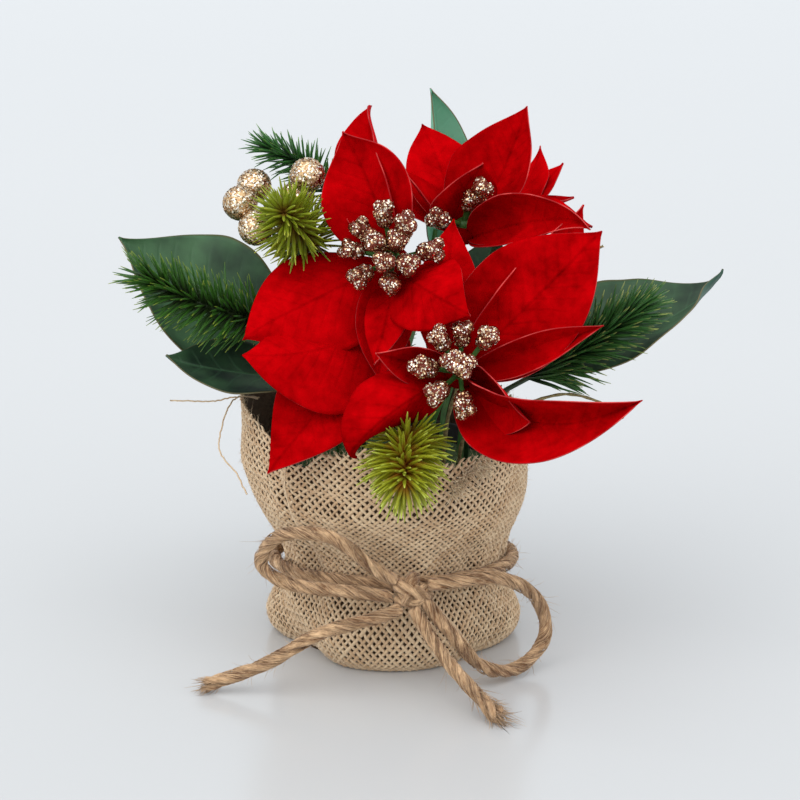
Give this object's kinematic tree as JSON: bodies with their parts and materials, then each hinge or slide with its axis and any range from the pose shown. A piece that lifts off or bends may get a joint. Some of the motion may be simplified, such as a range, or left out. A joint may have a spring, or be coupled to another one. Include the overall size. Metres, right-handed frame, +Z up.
{
  "type": "potted poinsettia arrangement",
  "caption": "Artificial poinsettia with red bracts, glittered buds, leaves and fir sprigs, standing in a pot wrapped in sacking tied with a twine bow.",
  "frame": {"origin": "middle of the flat underside of the wrapped pot", "axes": "+Z up, -Y the front with the bow, +X to the right as the front is seen"},
  "size_m": [0.2412, 0.202, 0.2134],
  "materials": {
    "black_plastic": "moulded black",
    "floral_foam": "open-celled foam, dull dark green",
    "sacking": "coarse open jute weave, undyed",
    "jute": "plied jute twine, hairy",
    "red_bract": "red velvet cloth with pale cut edges",
    "gold_glitter": "champagne gold glitter grains",
    "stem_green": "green plastic over wire",
    "leaf_green": "dark green cloth with moulded veins",
    "fir_needles": "moulded green needles, paler at the tips",
    "twig_bark": "thin twig, yellow brown"
  },
  "bodies": {
    "root": {"pot": "black_plastic", "foam": "floral_foam", "burlap_wrap": "sacking", "twine_band": "jute", "bow_knot": "jute", "bow_loop_left": "jute", "bow_loop_right": "jute", "bow_tail_left": "jute", "bow_tail_right": "jute", "bloom_left_bracts": "red_bract", "bloom_left_stem": "stem_green", "bloom_left_buds": "gold_glitter", "bloom_right_bracts": "red_bract", "bloom_right_stem": "stem_green", "bloom_right_buds": "gold_glitter", "bloom_back_bracts": "red_bract", "bloom_back_stem": "stem_green", "bloom_back_buds": "gold_glitter", "leaf_left_upper": "leaf_green", "leaf_left_lower": "leaf_green", "leaf_right": "leaf_green", "leaf_top": "leaf_green", "leaf_back_left": "leaf_green", "leaf_back_right": "leaf_green", "berry_pick": "gold_glitter", "twig_glitter": "twig_bark", "twig_dry": "twig_bark", "sprig_left": "fir_needles", "sprig_facing": "fir_needles", "sprig_top": "fir_needles", "sprig_front": "fir_needles", "sprig_right": "fir_needles", "sprig_back": "fir_needles"}
  },
  "joints": []
}
